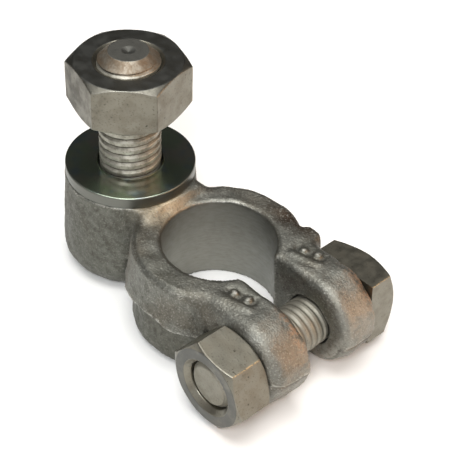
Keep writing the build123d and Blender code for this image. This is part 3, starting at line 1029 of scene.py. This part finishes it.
        # Painted shadow in a band just under the flash.
        flash_shadow = 0.8 * mound(self.above, "flash_shadow") * self.parted * self.wall
        return {
            # Rubbed ridges, with a painted highlight along the flash line.
            "ridge": np.maximum(np.clip(-hollow * 9 - 0.25, 0, 1) * (1 - rust), self.flash),
            # Painted shade in the creases and in the band under the flash.
            "crevice": np.clip(np.maximum(hollow * 9 - 0.2, flash_shadow), 0, 1),
            # Painted shade in the broad hollows.
            "hollow": np.clip(broad_shade * 22 - 0.1, 0, 1),
            "machined": self.in_bore,
            # Painted warm reflection.
            "warm": warm,
            "tan": spot(x, y, "neck_tan") * upward,
            "rust": rust,
            "dull": dull,
            # Painted warm highlight.
            "ember": ember,
            # Painted silver highlight.
            "silver": silver,
            "bore_tan": 0.07 * np.clip(-x / self.bore, 0, 1) * self.in_bore,
        }


class CLAMP_OT_cast_body(bpy.types.Operator):
    """Makes the cast body: even points over the solid, softened edges, blended ear roots, a
    wandering parting line and cast grain"""

    bl_idname = "clamp.cast_body"
    bl_label = "Cast Body"

    def execute(self, context):
        settings = context.scene.clamp_casting
        casting = Casting(settings, context.scene.clamp_fasteners.bolt_head_height)
        casting.soften()
        casting.part()
        casting.roughen()
        finish = made("tinned_casting", settings, cast_finish)
        dress("cast_body", casting.mesh, finish, casting.marks())
        return {"FINISHED"}


class CLAMP_OT_terminal_stud(bpy.types.Operator):
    """Makes the stud: its hexagon head, a rolled thread as one helical surface, and its end"""

    bl_idname = "clamp.terminal_stud"
    bl_label = "Terminal Stud"

    def execute(self, context):
        settings = context.scene.clamp_fasteners
        low, high = (corner.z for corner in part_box("terminal_stud"))
        place = axis_of("stud_washer", "Z")
        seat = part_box("stud_washer")[0].z
        nut_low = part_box("stud_nut")[0].z
        crest, pitch = settings.stud_diameter / 2, settings.stud_pitch
        flats, end_start = settings.stud_head_flats, high - settings.stud_end_chamfer
        face, reach, fall = turned_blank("stud_head", flats, 6, settings.chamfer_slope)
        top = STUD_HEAD_HIGH
        head = [(0, low), (face, low), (reach, low + fall), (reach, top), (crest, top)]
        head.append((crest, seat))
        shank = [(crest, seat + THREAD_RELIEF), (crest, end_start)]
        shank += [(settings.stud_end_flat / 2, high), (settings.dimple_diameter / 2, high)]
        shank.append((0, high - settings.dimple_depth))
        head = rounded_path(head, rounding=0.2 * MM, spacing=0.7 * MM)
        shank = rounded_path(shank, rounding=0.12 * MM, spacing=pitch / 17)
        path = np.concatenate([head, shank])

        def threading(height, _):
            return np.clip((height - seat) / pitch, 0, 1)

        shape = {"sides": 6, "steps": 32, "turn": 0.0}
        turned, _, groove, run, grid = screw("stud", path, place, settings, threading, **shape)
        height = grid[1]
        end = (height > high - settings.stud_end_chamfer * 0.4) * 1.0
        end *= turned < settings.stud_end_flat / 2
        marks = {
            # Where painted shade sits at the thread's roots.
            "groove": groove * (run > 0) * (turned >= crest * 0.98),
            "turned_face": end,
            "dimple": turned < settings.dimple_diameter / 2,
            # Painted warm shadow just under the nut.
            "oiled": fade(np.abs(height - nut_low + SHADOW_BELOW_NUT), "oiled"),
            "cone": (height > end_start) * (1.0 - end),
        }
        finish = made("stud_thread_finish", settings, thread_finish)
        turned_piece("stud", place, grid, finish, marks, joined=False)
        return {"FINISHED"}


class CLAMP_OT_stud_washer(bpy.types.Operator):
    """Makes the washer as a rounded profile turned about the stud"""

    bl_idname = "clamp.stud_washer"
    bl_label = "Stud Washer"

    def execute(self, context):
        settings = context.scene.clamp_fasteners
        low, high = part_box("stud_washer")
        place = axis_of("stud_washer", "Z")
        outer, inner = (high.x - low.x) / 2, settings.washer_hole / 2
        corners = [(outer, low.z), (outer, high.z), (inner, high.z), (inner, low.z)]
        path = rounded_path(corners, rounding=0.28 * MM, spacing=0.3 * MM, closed=True)
        columns = WASHER_COLUMNS
        angles = np.arange(columns) * FULL_TURN / columns
        radius, height = (np.repeat(path[:, k : k + 1], columns, axis=1) for k in (0, 1))
        height = height + unevenness("washer", around_axis(radius, height, angles, *place))
        # The cut edge, which is painted darker as shade.
        marks = {"cut_edge": np.clip((radius - outer + 0.15 * MM) / (0.1 * MM), 0, 1)}
        finish = made("bright_steel", settings, washer_finish)
        turned_piece("washer", place, (radius, height, angles), finish, marks, joined=True)
        return {"FINISHED"}


class CLAMP_OT_nuts(bpy.types.Operator):
    """Makes the stud nut and the pinch nut as hexagons cut by turned chamfers"""

    bl_idname = "clamp.nuts"
    bl_label = "Nuts"

    def execute(self, context):
        settings = context.scene.clamp_fasteners
        finish = made("zinc_steel", settings, zinc_finish)
        for name, place, diameter in (
            ("nut_on_stud", axis_of("stud_washer", "Z"), settings.stud_diameter),
            ("nut_on_bolt", axis_of("pinch_nut", "Y"), settings.bolt_diameter),
        ):
            hexagon_nut(name, place, diameter / 2 + NUT_CLEARANCE, settings, finish)
        return {"FINISHED"}


class CLAMP_OT_pinch_bolt(bpy.types.Operator):
    """Makes the pinch bolt: its thread, its plain end and its chamfered square head"""

    bl_idname = "clamp.pinch_bolt"
    bl_label = "Pinch Bolt"

    def execute(self, context):
        settings = context.scene.clamp_fasteners
        low, high = (corner.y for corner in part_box("pinch_bolt"))
        place = axis_of("pinch_nut", "Y")
        crest = settings.bolt_diameter / 2
        end = settings.bolt_end_flat / 2
        side = settings.bolt_head_flats
        seat = high - settings.bolt_head_height
        face, reach, fall = turned_blank("bolt_head", side, 4, settings.chamfer_slope)
        shank = [(0, low), (end, low), (crest, low + settings.bolt_end_chamfer)]
        shank.append((crest, seat - THREAD_RELIEF))
        head = [(crest, seat), (reach, seat), (reach, high - fall), (face, high), (0, high)]
        shank = rounded_path(shank, rounding=0.15 * MM, spacing=settings.bolt_pitch / 16)
        head = rounded_path(head, rounding=0.1 * MM, spacing=0.25 * MM)
        path = np.concatenate([shank, head])
        turn = pi / 4 - settings.bolt_head_turn

        def threading(height, turned):
            return (height < seat - THREAD_RELIEF) * (turned > end * 1.001) * 1.0

        shape = {"sides": 4, "steps": 44, "turn": turn}
        screwed = screw("bolt", path, place, settings, threading, **shape)
        turned, square, groove, threaded, grid = screwed
        height, angles = grid[1:]
        on_head = turned > crest * PAST_CREST
        corner, arcs = edge_wear(turned, square, corner_width=0.08 * MM, arc_width=0.2 * MM)
        marks = {
            # Where faint painted shade sits at the thread's roots.
            "groove": groove * threaded,
            "threaded": threaded,
            # Gold on the head's corner at its turn: edge wear with a painted warm highlight.
            "gold_wear": corner * on_head * (np.abs(angle_from(angles, turn)) < 0.6),
            "scored": on_head * (np.abs(angles - turn + pi / 4) < pi / 4),
            "arc_wear": arcs * (turned < reach * 0.999) * on_head * (height > seat + MM),
        }
        finish = made("bolt_steel", settings, bolt_finish)
        turned_piece("square_bolt", place, grid, finish, marks, joined=False)
        return {"FINISHED"}


# ---------------------------------------------------------------- stage

FLOOR_HALF = 1.5
CAMERA_PLACE = (0.10551, -0.10213, 0.14633)
LIT_POINT = (0.0, 0.0, 0.015)
ROOM_RISE = 0.35  # how far the lighter side of the room leans up
ROOM_DARK_END, ROOM_LIGHT_END = -0.4, 0.9

# Soft lamps: distance, elevation and azimuth in degrees, side, watts and colour.
LAMPS = {
    "overhead": (0.9, 88, 0, 0.7, 8.5, (1.0, 0.99, 0.97)),
    "by_camera": (0.5, 47, 38, 0.12, 1.3, (0.96, 0.98, 1.0)),
    "warm_side": (0.4, 20, 120, 0.16, 0.55, None),
}


def direction(azimuth, elevation):
    """Unit vector towards an azimuth, turned from -Y, and an elevation."""
    across = cos(elevation)
    return Vector((sin(azimuth) * across, -cos(azimuth) * across, sin(elevation)))


def facing(towards):
    """Turn of a camera or lamp that stands in this direction and looks back."""
    return (-towards).to_track_quat("-Z", "Y")


def area_light(name, distance, elevation, azimuth, side, watts, tint):
    """A square soft light at a distance, elevation and azimuth from the point that it lights."""
    data = bpy.data.lights.new(name, "AREA")
    data.shape = "SQUARE"
    data.size = side
    data.energy = watts
    data.color = tint
    light = bpy.data.objects.new(name, data)
    bpy.context.scene.collection.objects.link(light)
    back = direction(radians(azimuth), radians(elevation))
    light.location = Vector(LIT_POINT) + back * distance
    light.rotation_euler = facing(back).to_euler()


def room_light(settings):
    """The world: dim, turning lighter with the dot product of the direction and the camera's."""
    world = bpy.data.worlds.new("room")
    world.use_nodes = True
    room = Nodes(world.node_tree, settings, "Generated")
    flat = direction(settings.azimuth, 0.0)
    sockets = {0: room.place, 1: (flat.x, flat.y, ROOM_RISE)}
    towards = room.add("VectorMath", "Value", sockets, operation="DOT_PRODUCT")
    sockets = {"Value": towards, "From Min": ROOM_DARK_END, "From Max": ROOM_LIGHT_END}
    light = room.add("MapRange", "Result", sockets)
    tint = room.coats("room_dark", ("room_light", light))
    background = room.add("Background", "Background", {"Color": tint})
    output = room.tree.nodes.new("ShaderNodeOutputWorld")
    room.join(background, output.inputs["Surface"])
    return world


class CLAMP_OT_stage(bpy.types.Operator):
    """Makes the pale floor, the room's soft light, the lamps and the camera"""

    bl_idname = "clamp.stage"
    bl_label = "Stage"

    def execute(self, context):
        settings = context.scene.clamp_stage
        scene = context.scene
        mesh = bpy.data.meshes.new("floor")
        corners = [(-1, -1), (1, -1), (1, 1), (-1, 1)]
        points = [(x * FLOOR_HALF, y * FLOOR_HALF, 0) for x, y in corners]
        mesh.from_pydata(points, [], [range(len(points))])
        paint = made("pale_floor", settings, floor_finish, metallic=0.0, specular=0.1)
        mesh.materials.append(paint)
        floor = bpy.data.objects.new("floor", mesh)
        scene.collection.objects.link(floor)

        scene.world = room_light(settings)
        for name, (*place, tint) in LAMPS.items():
            area_light(name, *place, tint or settings.warm_light)

        camera_data = bpy.data.cameras.new("camera")
        camera_data.lens = settings.lens
        camera_data.sensor_width = 36.0
        camera_data.clip_start = 0.005
        camera_data.clip_end = 10.0
        camera = bpy.data.objects.new("camera", camera_data)
        scene.collection.objects.link(camera)
        camera.location = CAMERA_PLACE
        upright = facing(direction(settings.azimuth, settings.elevation)).to_matrix()
        camera.rotation_euler = (upright @ Matrix.Rotation(settings.roll, 3, "Z")).to_euler()
        scene.camera = camera
        scene.view_settings.view_transform = "Standard"
        return {"FINISHED"}


class CLAMP_PT_sidebar(bpy.types.Panel):
    """Lists the settings and the pieces that can be made"""

    bl_idname = "CLAMP_PT_sidebar"
    bl_label = "Battery Terminal Clamp"
    bl_space_type = "VIEW_3D"
    bl_region_type = "UI"
    bl_category = "Clamp"

    def draw(self, context):
        for operator in OPERATORS:
            self.layout.operator(operator.bl_idname)
        for name, group in SETTINGS.items():
            box = self.layout.box()
            for setting in group.__annotations__:
                box.prop(getattr(context.scene, name), setting)


OPERATORS = (
    CLAMP_OT_cast_body,
    CLAMP_OT_terminal_stud,
    CLAMP_OT_stud_washer,
    CLAMP_OT_nuts,
    CLAMP_OT_pinch_bolt,
    CLAMP_OT_stage,
)


def register():
    for group in (*SETTINGS.values(), *OPERATORS, CLAMP_PT_sidebar):
        bpy.utils.register_class(group)
    for name, group in SETTINGS.items():
        setattr(bpy.types.Scene, name, bpy.props.PointerProperty(type=group))


def unregister():
    for name in SETTINGS:
        delattr(bpy.types.Scene, name)
    for group in reversed((*SETTINGS.values(), *OPERATORS, CLAMP_PT_sidebar)):
        bpy.utils.unregister_class(group)


def main():
    register()
    for operator in OPERATORS:
        group, name = operator.bl_idname.split(".")
        getattr(getattr(bpy.ops, group), name)()


if __name__ == "__main__":
    main()
